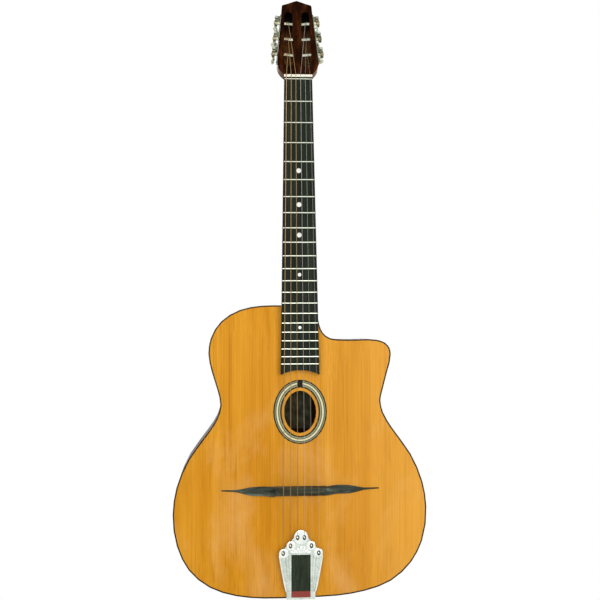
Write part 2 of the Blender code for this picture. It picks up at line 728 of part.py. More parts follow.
MOUSTACHE_FORM = [(0.0420, 0.0066, 0.0105), (0.0500, 0.0068, 0.0082), (0.0620, 0.0072, 0.0066),
                  (0.0760, 0.0070, 0.0055), (0.0880, 0.0055, 0.0046), (0.0975, 0.0030, 0.0038),
                  (0.1060, 0.0018, 0.0032), (0.1285, 0.0011, 0.0024)]


def make_moustaches():
    """Each wing: (distance out, half width, height) stations of a domed leaf on the soundboard."""
    for side, label in ((-1, "bass"), (1, "treble")):
        lean = -0.0006 if side < 0 else 0.0008
        rings = []
        for out, half, height in MOUSTACHE_FORM:
            x = side * out
            middle = BRIDGE_Z + lean * out / MOUSTACHE_TIP
            foot = top_y(x, middle) - GAP
            ring = [(x, foot, middle - half), (x, foot, middle + half)]
            for a in np.radians((25, 62, 90, 118, 155)):
                ring.append((x, foot - height * math.sin(a), middle + half * math.cos(a)))
            rings.append(ring)
        name = "moustache_" + label
        add_object(name, loft_mesh(name, rings), EBONY)


# Tailpiece and end pin

TAILPIECE_SLOPE = math.atan2(TAILPIECE_FRONT_TAIL - TAILPIECE_FRONT_TOP, TAILPIECE_TOP - TAILPIECE_TAIL_Z)


def tailpiece_y(z):
    return TAILPIECE_FRONT_TAIL - (z - TAILPIECE_TAIL_Z) * math.tan(TAILPIECE_SLOPE)


def tailpiece_outline():
    """Crown of three round steps on each side, then long tapering arms."""
    crown = (arc((0.0, 0.1000), 0.0112, 80, 0, 6) + arc((0.0150, 0.0855), 0.0078, 78, 0, 5)
             + arc((0.0276, 0.0723), 0.0079, 78, -14, 6))
    right = crown + [(0.0247, 0.0110), (0.0236, 0.0095), (0.0234, TAILPIECE_TAIL_Z + 0.0003)]
    return [(0.0, 0.1112)] + right + mirrored(right)[::-1]


def make_tailpiece():
    tilt = (TAILPIECE_SLOPE, 0, 0)
    base = (0, TAILPIECE_FRONT_TAIL, TAILPIECE_TAIL_Z)
    tall = 1 / math.cos(TAILPIECE_SLOPE)

    def lie(points):
        return [(x, (z - TAILPIECE_TAIL_Z) * tall) for x, z in points]

    window = [(-WINDOW_HALF, WINDOW_BOTTOM), (WINDOW_HALF, WINDOW_BOTTOM),
              (WINDOW_HALF, WINDOW_TOP), (-WINDOW_HALF, WINDOW_TOP)]
    plate = flat_mesh("tailpiece_frame", [lie(tailpiece_outline()), lie(window)], 0.0, TAILPIECE_THICK)
    frame = add_object("tailpiece_frame", plate, NICKEL, GUITAR, base, tilt)

    foot = box_mesh("tailpiece_foot", (-0.0231, TAILPIECE_FRONT_TAIL + 0.0002, TAILPIECE_TAIL_Z),
                    (0.0231, FOOT_REACH, TAILPIECE_TAIL_Z + TAILPIECE_THICK))
    combine(frame, add_object("tailpiece_foot", foot), "UNION")

    studs, ribs = [], []
    for x, z in ANCHORS:
        y = tailpiece_y(z)
        studs.append(((x, y + 0.0005, z), (x, y - STUD_HEIGHT, z - 0.0004), STUD_RADIUS))
    for side in (-1, 1):
        for low, high in ((0.0178, 0.0192), (0.0206, 0.0244), (0.0233, 0.0296)):
            start = (side * low, tailpiece_y(0.0130) + 0.0001, 0.0130)
            end = (side * high, tailpiece_y(0.0640) + 0.0001, 0.0640)
            ribs.append((start, end, 0.0007))
    combine(frame, add_object("tailpiece_studs", rods_mesh("tailpiece_studs", studs, 8)), "UNION")
    combine(frame, add_object("tailpiece_ridges", rods_mesh("tailpiece_ridges", ribs, 6)), "UNION")

    inset = WINDOW_HALF - GAP
    for name, low, high, near, far, material in (
            ("tailpiece_insert", FELT_TOP + GAP, WINDOW_TOP - GAP, -0.0003, 0.0016, EBONY),
            ("tailpiece_felt", WINDOW_BOTTOM + GAP, FELT_TOP, -0.0002, 0.0018, FELT)):
        panel = box_mesh(name, (-inset, near, (low - TAILPIECE_TAIL_Z) * tall),
                         (inset, far, (high - TAILPIECE_TAIL_Z) * tall))
        add_object(name, panel, material, GUITAR, base, tilt)


def make_end_pin(ribs, tail_block):
    depth = 0.052
    hole = rods_mesh("end_pin_hole", [((0, depth, -0.01), (0, depth, 0.020), 0.0038)], 12)
    hole_cutter = add_object("end_pin_hole", hole)
    for piece in (*ribs, tail_block):
        combine(piece, hole_cutter, "DIFFERENCE")
    profile = [(0.0, 0.0185), (0.0034, 0.0180), (0.0035, -0.0005), (0.0062, -0.0006), (0.0065, -0.0022),
               (0.0045, -0.0040), (0.0042, -0.0080), (0.0068, -0.0100), (0.0070, -0.0125), (0.0060, -0.0140),
               (0.0, -0.0140)]
    turned("end_pin", profile, 12, NICKEL, GUITAR, (0, depth, 0))


# Tuning machines

def tuner_frame(side, label):
    """A frame on the headstock's side face: local x runs across, y into the depth, z up the side."""
    return add_empty("tuner_frame_" + label, HEAD, (side * head_half(TUNER_MID_U), 0, TUNER_MID_U),
                     (0, -side * SIDE_LEAN, 0))


def gear_mesh(name, side):
    """A worm wheel: trapezoid teeth, twisted to the worm's lead, round a bored hub."""
    root = GEAR_PITCH_RADIUS - GEAR_DEDENDUM
    tip = GEAR_PITCH_RADIUS + GEAR_ADDENDUM
    step = 2 * math.pi / GEAR_TEETH
    twist = GEAR_WIDTH * WORM_PITCH / (2 * math.pi * WORM_PITCH_RADIUS) / GEAR_PITCH_RADIUS
    near, far = side * GEAR_NEAR, side * (GEAR_NEAR + GEAR_WIDTH)
    bm = bmesh.new()
    rows = []
    for x, turn in ((near, -side * twist / 2), (far, side * twist / 2)):
        row = []
        for tooth in range(GEAR_TEETH):
            for radius, angle in ((root, -0.27), (tip, -0.115), (tip, 0.115), (root, 0.27)):
                a = (tooth + 0.5 + angle) * step + turn
                row.append(bm.verts.new((x, radius * math.sin(a), radius * math.cos(a))))
        rows.append(row)
    bores = []
    for x in (near, far):
        bores.append([bm.verts.new((x, 0.0023 * math.sin(a), 0.0023 * math.cos(a)))
                      for a in np.linspace(0, 2 * math.pi, GEAR_TEETH, endpoint=False) + 0.5 * step])
    count = len(rows[0])
    for i in range(count):
        j = (i + 1) % count
        bm.faces.new((rows[0][i], rows[0][j], rows[1][j], rows[1][i]))
    for row, bore in zip(rows, bores):
        for tooth in range(GEAR_TEETH):
            after = (tooth + 1) % GEAR_TEETH
            corners = row[4 * tooth:4 * tooth + 4]
            bm.faces.new(corners + [bore[tooth]])
            bm.faces.new((corners[3], row[4 * after], bore[after], bore[tooth]))
    for tooth in range(GEAR_TEETH):
        after = (tooth + 1) % GEAR_TEETH
        bm.faces.new((bores[0][tooth], bores[0][after], bores[1][after], bores[1][tooth]))
    return mesh_from(bm, name)


def thread_mesh(name):
    """The worm's single-start thread: a trapezoid carried along a right-hand helix about y."""
    turns = WORM_LENGTH / WORM_PITCH
    count = round(turns * 8)
    section = [(WORM_ROOT_RADIUS - 0.0003, -0.00062), (WORM_CREST_RADIUS, -0.00026),
               (WORM_CREST_RADIUS, 0.00026), (WORM_ROOT_RADIUS - 0.0003, 0.00062)]
    rings = []
    for i in range(count + 1):
        travel = (i / count - 0.5) * turns
        angle = 2 * math.pi * travel
        rings.append([(radius * math.sin(angle), travel * WORM_PITCH + shift, -radius * math.cos(angle))
                      for radius, shift in section])
    return loft_mesh(name, rings)


def button_mesh(name, turn):
    """A flattened oval thumb button on the worm's axis."""
    bm = bmesh.new()
    bmesh.ops.create_uvsphere(bm, u_segments=10, v_segments=6, radius=0.5)
    bmesh.ops.scale(bm, vec=BUTTON_SIZE, verts=bm.verts)
    bmesh.ops.rotate(bm, cent=(0, 0, 0), matrix=Matrix.Rotation(math.radians(turn), 3, "Y"), verts=bm.verts)
    bmesh.ops.translate(bm, vec=(0, BUTTON_DEPTH - ROLLER_DEPTH, 0), verts=bm.verts)
    return mesh_from(bm, name)


def plate_outline():
    """The tuner plate's wavy plan in (depth, height): wide at each roller, narrow between."""
    heights = np.linspace(-0.0405, 0.0405, 17)
    wave = [math.cos(2 * math.pi * (z - 0.006) / TUNER_PITCH) for z in heights]
    edge = [(PLATE_DEPTH + 0.0062 + 0.0012 * swell, z) for swell, z in zip(wave, heights)]
    tip = edge[-1][0] - PLATE_DEPTH
    top = arc((PLATE_DEPTH, heights[-1]), tip, 36, 144, 4)
    bottom = arc((PLATE_DEPTH, heights[0]), tip, 216, 324, 4)
    left = [(2 * PLATE_DEPTH - y, z) for y, z in edge][::-1]
    return edge + top + left + bottom


LUGS = ((0.0006, 0.0018), (0.0098, 0.0112))


def make_tuner_plate(side, label, frame):
    near, far = side * GAP, side * (GAP + PLATE_T)
    name = "tuner_plate_" + label
    plate = add_object(name, flat_mesh(name, [plate_outline()], min(near, far), max(near, far), SIDEWAYS),
                       NICKEL, frame)
    holes, shafts = [], []
    for place in (-TUNER_PITCH, 0, TUNER_PITCH):
        holes.append(((-0.003, ROLLER_DEPTH, place), (0.003, ROLLER_DEPTH, place), ROLLER_RADIUS + GAP))
        worm_z = place + CENTRE_DISTANCE
        worm_x = side * WORM_OUT
        root_x = side * (GAP + PLATE_T / 2)
        lug = ([(root_x, worm_z - LUG_RADIUS), (worm_x, worm_z - LUG_RADIUS)]
               + arc((worm_x, worm_z), LUG_RADIUS, -90, 90 if side > 0 else -270, 7)[1:-1]
               + [(worm_x, worm_z + LUG_RADIUS), (root_x, worm_z + LUG_RADIUS)])
        for number, (front, back) in enumerate(LUGS):
            lug_name = f"lug_{label}_{place * 1000:.0f}_{number}"
            tab = add_object(lug_name, flat_mesh(lug_name, [lug], front, back), None, frame)
            combine(plate, tab, "UNION")
        shafts.append(((worm_x, -0.004, worm_z), (worm_x, 0.02, worm_z), WORM_ROOT_RADIUS + GAP))
    combine(plate, add_object("roller_holes_" + label, rods_mesh("roller_holes_" + label, holes, 10), None, frame),
            "DIFFERENCE")
    combine(plate, add_object("worm_holes_" + label, rods_mesh("worm_holes_" + label, shafts, 8), None, frame),
            "DIFFERENCE")


def make_roller(number, side, place, frame):
    face_u = TUNER_MID_U + place * math.cos(SIDE_LEAN)
    inner = -(head_half(face_u) - ROLLER_INNER_X) / math.cos(SIDE_LEAN)
    shoulder = GEAR_NEAR - GAP
    rivet = GEAR_NEAR + GEAR_WIDTH + GAP
    profile = [(0.0, rivet + 0.0010), (0.0022, rivet + 0.0010), (0.0030, rivet + 0.0003), (0.0030, rivet),
               (ROLLER_SPINDLE, rivet), (ROLLER_SPINDLE, shoulder), (ROLLER_RADIUS, shoulder),
               (ROLLER_RADIUS, inner), (0.0, inner)]
    return turned(f"roller_{number}", profile, 10, NICKEL, frame, (0, ROLLER_DEPTH, place),
                  (0, side * math.pi / 2, 0))


def make_worm(number, side, place, frame):
    worm_at = (side * WORM_OUT, ROLLER_DEPTH, place + CENTRE_DISTANCE)
    name = f"worm_{number}"
    start, end = -0.0068, BUTTON_DEPTH - ROLLER_DEPTH - 0.004
    core = rods_mesh(name, [((0, start, 0), (0, end, 0), WORM_ROOT_RADIUS)], 8)
    worm = add_object(name, core, NICKEL, frame, worm_at)
    thread = add_object("thread_" + name, thread_mesh("thread_" + name), None, frame, worm_at)
    combine(worm, thread, "UNION")
    collars = rods_mesh("collars_" + name, [((0, -0.0072, 0), (0, -0.0058, 0), 0.0025),
                                            ((0, 0.0058, 0), (0, 0.0072, 0), 0.0025)], 8)
    combine(worm, add_object("collars_" + name, collars, None, frame, worm_at), "UNION")
    button = button_mesh("button_" + name, BUTTON_TURNS[number - 1])
    combine(worm, add_object("button_" + name, button, None, frame, worm_at), "UNION")


def make_tuners(neck):
    """String 6 is the lowest; its roller is the bass side's nearest to the nut."""
    for side, label, numbers in ((-1, "bass", (6, 5, 4)), (1, "treble", (1, 2, 3))):
        frame = tuner_frame(side, label)
        make_tuner_plate(side, label, frame)
        bores = []
        for number, place in zip(numbers, (-TUNER_PITCH, 0, TUNER_PITCH)):
            make_roller(number, side, place, frame)
            make_worm(number, side, place, frame)
            gear = gear_mesh(f"gear_{number}", side)
            add_object(f"gear_{number}", gear, GEAR_BRASS, frame, (0, ROLLER_DEPTH, place))
            face_u = TUNER_MID_U + place * math.cos(SIDE_LEAN)
            inner = -side * (head_half(face_u) - ROLLER_INNER_X + GAP) / math.cos(SIDE_LEAN)
            bores.append(((inner, ROLLER_DEPTH, place), (side * 0.002, ROLLER_DEPTH, place), ROLLER_RADIUS + GAP))
        name = "roller_bores_" + label
        combine(neck, add_object(name, rods_mesh(name, bores, 10), None, frame), "DIFFERENCE")


# Strings

def least_gap(points, radius):
    """The least clear distance between stretches of one tube over half a turn apart."""
    points = np.array(points)
    apart = WINDING_POINTS // 2
    gaps = [np.linalg.norm(points[i + apart:] - points[i], axis=1).min() for i in range(len(points) - apart)]
    return min(gaps) - 2 * radius


def winding_points(index, side, place, start_x, frame):
    """Turns of a string over its roller, from the front, up and over, stepping outwards."""
    radius = STRING_RADII[index]
    reach = ROLLER_RADIUS + GAP + radius
    pitch = 2 * radius + 0.00045
    face_u = TUNER_MID_U + place * math.cos(SIDE_LEAN)
    out = -(head_half(face_u) - start_x) / math.cos(SIDE_LEAN)
    points = []
    for step in range(int(WINDING_TURNS * WINDING_POINTS) + WINDING_POINTS // 3):
        turn = step / WINDING_POINTS
        angle = 2 * math.pi * turn
        local = Vector((side * (out + pitch * turn), ROLLER_DEPTH - reach * math.cos(angle),
                        place + reach * math.sin(angle)))
        points.append(frame @ local)
    return points


def loop_points(index):
    """The loop at a string's tail end, open by a quarter turn round its stud."""
    x, z = ANCHORS[index]
    radius = STRING_RADII[index]
    reach = STUD_RADIUS + GAP + radius + 0.0002
    y = tailpiece_y(z) - BRACE_GAP - radius
    points = []
    for a in np.radians(np.linspace(330, 90, 7)):
        across, up = reach * math.cos(a), reach * math.sin(a)
        points.append(Vector((x + across, y - up * math.tan(TAILPIECE_SLOPE), z + up)))
    return points


def make_strings():
    bpy.context.view_layer.update()
    to_body = GUITAR.matrix_world.inverted()
    starts = {0: 0.0160, 1: 0.0150, 2: 0.0142, 3: 0.0142, 4: 0.0152, 5: 0.0165}
    for index, radius in enumerate(STRING_RADII):
        side = -1 if index < 3 else 1
        label = "bass" if side < 0 else "treble"
        place = (-TUNER_PITCH, 0, TUNER_PITCH)[index if index < 3 else 5 - index]
        frame = to_body @ bpy.data.objects["tuner_frame_" + label].matrix_world
        turns = winding_points(index, side, place, starts[index], frame)
        number = 6 - index
        print(f"string_{number} least gap in its winding, mm: {least_gap(turns, radius) * 1000:.2f}")
        route = loop_points(index) + [Vector(string_over_bridge(index)), Vector(string_over_fret(index)),
                                      Vector(string_at_nut(index))] + turns
        add_object(f"string_{number}", tube_mesh(f"string_{number}", route, radius, 1), BRONZE)


make_plates()
RIBS = make_rim()
TAIL_BLOCK = make_blocks()
make_braces()
NECK_PIECE = make_neck()
make_fretboard()
make_nut()
make_bridge()
make_moustaches()
make_tailpiece()
make_end_pin(RIBS, TAIL_BLOCK)
make_tuners(NECK_PIECE)
make_strings()
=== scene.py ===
# The gypsy jazz guitar, dressed over its CAD frame: materials, relief, carved bridge, stage and camera.
# Sizes are in metres, in the CAD's frame: +Z up the neck, soundboard facing -Y, bass side at -X.

import math

import bmesh
import bpy
from mathutils import Matrix, Vector


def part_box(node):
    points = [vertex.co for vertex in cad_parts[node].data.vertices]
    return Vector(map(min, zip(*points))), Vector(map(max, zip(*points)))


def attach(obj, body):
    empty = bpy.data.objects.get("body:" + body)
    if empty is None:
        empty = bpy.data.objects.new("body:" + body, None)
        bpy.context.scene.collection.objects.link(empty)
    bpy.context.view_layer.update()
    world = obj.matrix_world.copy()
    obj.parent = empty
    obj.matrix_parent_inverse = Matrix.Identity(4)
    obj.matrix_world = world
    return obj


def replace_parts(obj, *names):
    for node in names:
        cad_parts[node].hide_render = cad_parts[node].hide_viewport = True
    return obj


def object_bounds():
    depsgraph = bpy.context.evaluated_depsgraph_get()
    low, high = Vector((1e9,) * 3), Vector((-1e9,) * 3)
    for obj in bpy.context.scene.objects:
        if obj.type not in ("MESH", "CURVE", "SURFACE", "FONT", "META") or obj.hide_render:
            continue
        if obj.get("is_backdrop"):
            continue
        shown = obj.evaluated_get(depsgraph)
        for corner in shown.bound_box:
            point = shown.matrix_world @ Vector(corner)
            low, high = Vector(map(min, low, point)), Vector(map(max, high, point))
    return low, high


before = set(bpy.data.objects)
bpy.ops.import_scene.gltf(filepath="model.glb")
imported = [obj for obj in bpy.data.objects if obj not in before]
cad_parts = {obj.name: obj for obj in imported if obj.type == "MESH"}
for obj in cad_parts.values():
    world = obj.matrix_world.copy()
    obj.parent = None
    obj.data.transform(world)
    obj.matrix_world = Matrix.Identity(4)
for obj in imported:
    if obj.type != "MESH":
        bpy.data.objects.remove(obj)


def write_size(key, sizes):
    """Note the object's box, as it was loaded and as it is drawn."""
    low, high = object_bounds()
    sizes[key] = [list(low), list(high)]


SIZES = {}
write_size("loaded", SIZES)


# Places that follow the CAD

GUITAR_Y, GUITAR_Z = -0.015, -0.862         # origin of the guitar's own frame, at the tail

HEAD_ORIGIN = Vector((0, -0.0084, -0.005))
HEAD_TILT = math.radians(15)
HEAD_FRAME = Matrix.Translation(HEAD_ORIGIN) @ Matrix.Rotation(-HEAD_TILT, 4, "X")
HEAD_SHOULDER = (0.025, 0.0344)             # height in the head's frame, half width
HEAD_TOP = (0.130, 0.0249)
SIDE_LEAN = math.atan2(HEAD_SHOULDER[1] - HEAD_TOP[1], HEAD_TOP[0] - HEAD_SHOULDER[0])

SLOT_REACH = 0.0238                         # the slots' outer edge, from the middle
SLOT_DEPTH = 0.0162
SLOT_FOOT = 0.0165
SLOT_SHADE_HEIGHTS = (0.017, 0.121)              # where the painted shade in the slots starts and ends

PLATE_MIDDLE = 0.0714                       # the tuner plates' middle, in the head's frame
PLATE_OUT = 0.0015
SCREW_HEIGHTS = (-0.0425, -0.0150, 0.0170, 0.0425)
SCREW_DEPTH = 0.0074
SCREW_RADIUS = 0.0017

NECK_ORIGIN = Vector((0, 0.0047 + GUITAR_Y, 0.8514 + GUITAR_Z))
NECK_TILT = math.radians(2)
BOARD_HALF = 0.02325                        # the fretboard's half width at the neck's origin
BOARD_TAPER = -0.01730                      # and its change for each metre up
FRET_INSET = 0.0009
FRET_PROUD = 0.00030

SOUND_HOLE = Vector((0, -0.021, 0.3025 + GUITAR_Z))
ROSETTE_MIDDLE = (0.03715, 0.0460)          # half axes of the rosette's middle line
ROSETTE_HALF = 0.0066
MARK_HALF = 0.0042

LABEL_MIDDLE = (0.0, SOUND_HOLE.z + 0.006)
LABEL_HALF = (0.026, 0.042)
LABEL_LIFT = 0.0003
INSIDE_Y = SOUND_HOLE.y + 0.012             # inside the body, behind the soundboard

FLOOR_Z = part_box("soundboard")[0].z - 0.0323


# Camera, fitted to the photograph

CAMERA_PLACE = Vector((-0.1107, -1.8250, -0.4226))
CAMERA_LENS = 66.28
CAMERA_YAW = math.radians(3.53)
CAMERA_PITCH = math.radians(1.45)
CAMERA_ROLL = math.radians(-0.27)


def make_camera():
    across = Vector((math.cos(CAMERA_YAW), -math.sin(CAMERA_YAW), 0))
    level = Vector((math.sin(CAMERA_YAW), math.cos(CAMERA_YAW), 0))
    forward = level * math.cos(CAMERA_PITCH) + Vector((0, 0, 1)) * math.sin(CAMERA_PITCH)
    up = Vector((0, 0, 1)) * math.cos(CAMERA_PITCH) - level * math.sin(CAMERA_PITCH)
    right = across * math.cos(CAMERA_ROLL) + up * math.sin(CAMERA_ROLL)
    above = up * math.cos(CAMERA_ROLL) - across * math.sin(CAMERA_ROLL)
    turn = Matrix((right, above, -forward)).transposed().to_4x4()
    data = bpy.data.cameras.new("camera")
    data.lens = CAMERA_LENS
    data.sensor_width = 36
    data.clip_start = 0.05
    data.clip_end = 30
    camera = bpy.data.objects.new("camera", data)
    camera.matrix_world = Matrix.Translation(CAMERA_PLACE) @ turn
    bpy.context.scene.collection.objects.link(camera)
    bpy.context.scene.camera = camera


make_camera()


# Node material helpers. Colours are linear.

WOOD_SPECULAR = 0.06
DARK_WOOD_SPECULAR = 0.02


class Paint:
    """A material's node tree, with short calls for the nodes that the finishes share."""

    def __init__(self, name, roughness=0.4, metallic=0.0, coat=0.0, specular=0.5):
        self.material = bpy.data.materials.new(name)
        self.material.use_nodes = True
        self.tree = self.material.node_tree
        self.shader = self.tree.nodes["Principled BSDF"]
        for socket, value in (("Roughness", roughness), ("Metallic", metallic), ("Coat Weight", coat),
                              ("Coat Roughness", 0.1), ("Specular IOR Level", specular)):
            self.shader.inputs[socket].default_value = value
        self.place = self.node("ShaderNodeTexCoord").outputs["Object"]

    def node(self, kind, **settings):
        made = self.tree.nodes.new(kind)
        for key, value in settings.items():
            setattr(made, key, value)
        return made

    def feed(self, socket, value):
        if isinstance(value, bpy.types.NodeSocket):
            self.tree.links.new(value, socket)
        else:
            socket.default_value = value

    def stretched(self, scale, turn=(0, 0, 0)):
        """The place, scaled along each axis: a small scale draws the pattern out along that axis."""
        mapping = self.node("ShaderNodeMapping")
        self.feed(mapping.inputs["Vector"], self.place)
        mapping.inputs["Scale"].default_value = scale
        mapping.inputs["Rotation"].default_value = turn
        return mapping.outputs["Vector"]

    def noise(self, scale, vector=None, detail=3.0, roughness=0.5, distortion=0.0):
        noise = self.node("ShaderNodeTexNoise")
        self.feed(noise.inputs["Vector"], vector or self.place)
        for socket, value in (("Scale", scale), ("Detail", detail), ("Roughness", roughness),
                              ("Distortion", distortion)):
            noise.inputs[socket].default_value = value
        return noise.outputs["Fac"]

    def wave(self, scale, direction, distortion, vector=None, detail_scale=1.0):
        wave = self.node("ShaderNodeTexWave", bands_direction=direction)
        self.feed(wave.inputs["Vector"], vector or self.place)
        for socket, value in (("Scale", scale), ("Distortion", distortion), ("Detail", 2.0),
                              ("Detail Scale", detail_scale)):
            wave.inputs[socket].default_value = value
        return wave.outputs["Fac"]

    def math(self, operation, a, b=0.0, c=0.0):
        made = self.node("ShaderNodeMath", operation=operation)
        for socket, value in zip(made.inputs, (a, b, c)):
            self.feed(socket, value)
        return made.outputs[0]

    def both(self, *tests):
        """1 where every test is 1."""
        result = tests[0]
        for test in tests[1:]:
            result = self.math("MULTIPLY", result, test)
        return result

    def length(self, a, b):
        return self.math("SQRT", self.math("ADD", self.math("POWER", a, 2.0), self.math("POWER", b, 2.0)))

    def ramp(self, factor, stops):
        """Colours at factors; a stop is (factor, (r, g, b))."""
        ramp = self.node("ShaderNodeValToRGB")
        self.feed(ramp.inputs[0], factor)
        elements = ramp.color_ramp.elements
        while len(elements) < len(stops):
            elements.new(0.5)
        for element, (at, colour) in zip(elements, stops):
            element.position = at
            element.color = (*colour, 1)
        return ramp.outputs["Color"]

    def mix(self, factor, a, b, blend="MIX"):
        mix = self.node("ShaderNodeMix", data_type="RGBA", blend_type=blend)
        self.feed(mix.inputs[0], factor)
        self.feed(mix.inputs[6], a if isinstance(a, bpy.types.NodeSocket) else (*a, 1))
        self.feed(mix.inputs[7], b if isinstance(b, bpy.types.NodeSocket) else (*b, 1))
        return mix.outputs[2]

    def shaded(self, colour, factor, stops):
        """The colour times the ramp of a factor."""
        return self.mix(1.0, colour, self.ramp(factor, stops), "MULTIPLY")

    def range(self, value, low, high, to_low, to_high):
        made = self.node("ShaderNodeMapRange")
        self.feed(made.inputs["Value"], value)
        for name, amount in (("From Min", low), ("From Max", high), ("To Min", to_low), ("To Max", to_high)):
            self.feed(made.inputs[name], amount)
        return made.outputs[0]

    def axes(self):
        split = self.node("ShaderNodeSeparateXYZ")
        self.feed(split.inputs[0], self.place)
        return split.outputs

    def colour(self, socket):
        self.feed(self.shader.inputs["Base Color"], socket)

    def rough(self, socket):
        self.feed(self.shader.inputs["Roughness"], socket)

    def bump(self, height, strength, distance):
        """Add the bump, which comes last, and give the finished material."""
        bump = self.node("ShaderNodeBump")
        bump.inputs["Strength"].default_value = strength
        bump.inputs["Distance"].default_value = distance
        self.feed(bump.inputs["Height"], height)
        self.tree.links.new(bump.outputs["Normal"], self.shader.inputs["Normal"])
        return self.material


def grained_paint(name, colours, grain, roughness, stretch, streak, specular=WOOD_SPECULAR):
    """Wood with long streaks: dark, middle and pale bands and fine pores; gives the paint and its colour."""
    paint = Paint(name, roughness, specular=specular)
    streaks = paint.noise(grain, paint.stretched(stretch), detail=6, roughness=0.65, distortion=0.4)
    fibres = paint.noise(grain * 7, paint.stretched(stretch), detail=3)
    bands = paint.ramp(streaks, list(zip((0.30, 0.50, 0.72), colours)))
    pores = paint.shaded(bands, fibres, [(0.35, (0.72, 0.70, 0.68)), (0.62, (1, 1, 1))])
    colour = paint.mix(streak, bands, pores)
    paint.colour(colour)
    paint.rough(paint.range(fibres, 0.3, 0.7, roughness + 0.1, roughness - 0.04))
    paint.bump(fibres, 0.12, 0.0002)
    return paint, colour


def grained_wood(*settings):
    return grained_paint(*settings)[0].material


def make_neck_paint():
    """Neck wood; in the headstock's two slots, the floor's wood with painted shade, black towards the top."""
    colours = [(0.070, 0.024, 0.010), (0.135, 0.050, 0.020), (0.20, 0.085, 0.036)]
    paint, wood = grained_paint("neck_wood", colours, 150, 0.34, (1, 1, 0.03), 0.6)
    x, y, z = paint.axes()
    back = paint.math("SUBTRACT", y, HEAD_ORIGIN.y)
    rise = paint.math("SUBTRACT", z, HEAD_ORIGIN.z)
    lean, stand = math.sin(HEAD_TILT), math.cos(HEAD_TILT)
    depth = paint.math("SUBTRACT", paint.math("MULTIPLY", back, stand), paint.math("MULTIPLY", rise, lean))
    height = paint.math("ADD", paint.math("MULTIPLY", back, lean), paint.math("MULTIPLY", rise, stand))
    inside = paint.both(paint.math("LESS_THAN", paint.math("ABSOLUTE", x), SLOT_REACH),
                        paint.math("LESS_THAN", depth, SLOT_DEPTH),
                        paint.math("GREATER_THAN", height, SLOT_FOOT))
    streaks = paint.noise(260, paint.stretched((1, 1, 0.06)), detail=4)
    # The slots' floor: brown wood, darker at the foot and black towards the top end. The darkening is painted
    # shade.
    slot_floor_shade = paint.ramp(paint.range(height, *SLOT_SHADE_HEIGHTS, 0.0, 1.0),
                       [(0.0, (0.060, 0.022, 0.005)), (0.15, (0.150, 0.068, 0.014)),
                        (0.55, (0.130, 0.048, 0.010)), (0.74, (0.034, 0.010, 0.003)),
                        (0.80, (0.003, 0.003, 0.003))])
    slot_colour = paint.shaded(slot_floor_shade, streaks, [(0.35, (0.45, 0.42, 0.38)), (0.62, (1, 1, 1))])
    paint.colour(paint.mix(inside, wood, slot_colour))
    return paint.material


def make_spruce():
    """Aged spruce: broad upright bands, fine growth lines, soft pale patches of painted reflection and painted
    light towards the treble side.
    """
    paint = Paint("aged_spruce", 0.34, specular=WOOD_SPECULAR)
    x = paint.axes()[0]
    bands = paint.noise(26, paint.stretched((1, 1, 0.022)), detail=4, roughness=0.62)
    blush = paint.noise(5, paint.stretched((1, 1, 0.7)), detail=3)
    rings = paint.wave(118, "X", 1.6, paint.stretched((1, 1, 0.012)), detail_scale=0.6)
    lines = paint.noise(330, paint.stretched((1, 1, 0.004)), detail=3, roughness=0.6)
    fibres = paint.noise(900, paint.stretched((1, 1, 0.02)), detail=4)
    colour = paint.ramp(bands, [(0.32, (0.560, 0.218, 0.006)), (0.50, (0.660, 0.292, 0.016)),
                                (0.68, (0.750, 0.362, 0.040))])
    for factor, stops in ((rings, [(0.0, (0.90, 0.85, 0.74)), (0.35, (1, 1, 1))]),
                          (lines, [(0.34, (0.86, 0.80, 0.66)), (0.48, (1, 1, 1))]),
                          (fibres, [(0.30, (0.93, 0.90, 0.84)), (0.60, (1.02, 1.02, 1.04))]),
                          (blush, [(0.38, (0.93, 0.89, 0.74)), (0.62, (1.03, 1.04, 1.12))])):
        colour = paint.shaded(colour, factor, stops)
    # Soft pinkish-white patches: painted reflection on the lacquer.
    painted_reflection = paint.noise(9, paint.stretched((1, 1, 0.55), (0, 0.2, 0)), detail=5, roughness=0.62, distortion=0.4)
    colour = paint.mix(paint.range(painted_reflection, 0.50, 0.74, 0.0, 0.45), colour, (0.79, 0.45, 0.17))
    # Lighter towards the treble side: painted light.
    paint.colour(paint.mix(paint.range(x, -0.02, 0.20, 0.0, 0.30), colour, (0.76, 0.40, 0.095)))
    paint.rough(paint.range(fibres, 0.3, 0.7, 0.40, 0.30))
    return paint.bump(rings, 0.05, 0.0002)


def make_fretboard_paint():
    """Dark wood, with nickel wherever the surface stands over the board's plane."""
    paint = Paint("fretboard", 0.42, specular=WOOD_SPECULAR)
    x, y, z = paint.axes()
    along = paint.math("SUBTRACT", z, NECK_ORIGIN.z)
    plane = paint.math("MULTIPLY_ADD", along, math.tan(NECK_TILT), NECK_ORIGIN.y)
    over = paint.math("SUBTRACT", plane, y)
    half = paint.math("MULTIPLY_ADD", along, BOARD_TAPER, BOARD_HALF)
    inner = paint.math("SUBTRACT", half, FRET_INSET)
    wire = paint.both(paint.math("GREATER_THAN", over, FRET_PROUD),
                      paint.math("LESS_THAN", paint.math("ABSOLUTE", x), inner))
    streaks = paint.noise(260, paint.stretched((1, 1, 0.03)), detail=5)
    wood = paint.ramp(streaks, [(0.30, (0.007, 0.010, 0.006)), (0.55, (0.014, 0.020, 0.013)),
                                (0.75, (0.030, 0.038, 0.026))])
    metal = paint.ramp(paint.noise(800), [(0.3, (0.62, 0.66, 0.52)), (0.7, (0.84, 0.88, 0.74))])
    paint.colour(paint.mix(wire, wood, metal))
    paint.feed(paint.shader.inputs["Metallic"], wire)
    paint.rough(paint.range(wire, 0, 1, 0.42, 0.34))
    return paint.bump(streaks, 0.1, 0.0002)


